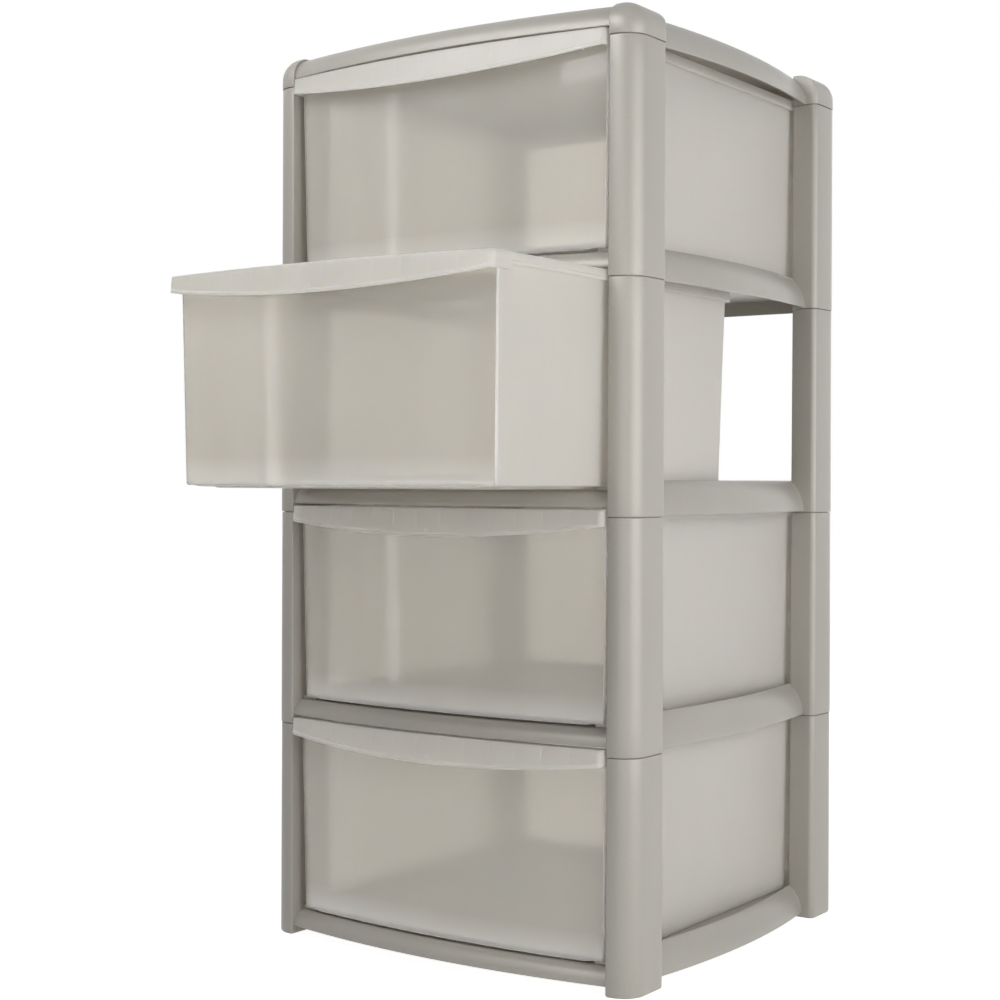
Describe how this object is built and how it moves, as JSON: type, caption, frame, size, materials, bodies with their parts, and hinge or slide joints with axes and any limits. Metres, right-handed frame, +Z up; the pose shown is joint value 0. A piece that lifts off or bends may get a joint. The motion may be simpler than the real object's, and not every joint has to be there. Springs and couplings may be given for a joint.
{
  "type": "plastic storage drawer tower",
  "caption": "Tall plastic storage tower with a domed top panel, hollow corner posts, bowed shelf rails and frosted translucent drawers that slide out to the front.",
  "frame": {"origin": "on the floor, in the middle of the whole outline in width and depth, with the second drawer from the top standing open as stored", "axes": "+Z up; -Y is the front, towards which the drawers open; +X to the right seen from the front"},
  "size_m": [0.4, 0.5764, 0.8295],
  "materials": {
    "frame_plastic": "silver grey, fine-grained satin moulding",
    "drawer_plastic": "frosted translucent, faintly milky moulding"
  },
  "bodies": {
    "frame": {"base_frame": "frame_plastic", "lower_shelf": "frame_plastic", "middle_shelf": "frame_plastic", "upper_shelf": "frame_plastic", "top_panel": "frame_plastic", "post_1_front_left": "frame_plastic", "post_1_front_right": "frame_plastic", "post_1_rear_left": "frame_plastic", "post_1_rear_right": "frame_plastic", "post_2_front_left": "frame_plastic", "post_2_front_right": "frame_plastic", "post_2_rear_left": "frame_plastic", "post_2_rear_right": "frame_plastic", "post_3_front_left": "frame_plastic", "post_3_front_right": "frame_plastic", "post_3_rear_left": "frame_plastic", "post_3_rear_right": "frame_plastic", "post_4_front_left": "frame_plastic", "post_4_front_right": "frame_plastic", "post_4_rear_left": "frame_plastic", "post_4_rear_right": "frame_plastic"},
    "top_drawer": {"drawer_1": "drawer_plastic"},
    "second_drawer": {"drawer_2": "drawer_plastic"},
    "third_drawer": {"drawer_3": "drawer_plastic"},
    "bottom_drawer": {"drawer_4": "drawer_plastic"}
  },
  "joints": [
    {"name": "top_drawer_slide", "type": "slide", "parent": "frame", "child": "top_drawer", "axis": [0, -1, 0], "range_m": [0, 0.28]},
    {"name": "second_drawer_slide", "type": "slide", "parent": "frame", "child": "second_drawer", "axis": [0, -1, 0], "range_m": [-0.158, 0.122]},
    {"name": "third_drawer_slide", "type": "slide", "parent": "frame", "child": "third_drawer", "axis": [0, -1, 0], "range_m": [0, 0.28]},
    {"name": "bottom_drawer_slide", "type": "slide", "parent": "frame", "child": "bottom_drawer", "axis": [0, -1, 0], "range_m": [0, 0.28]}
  ]
}
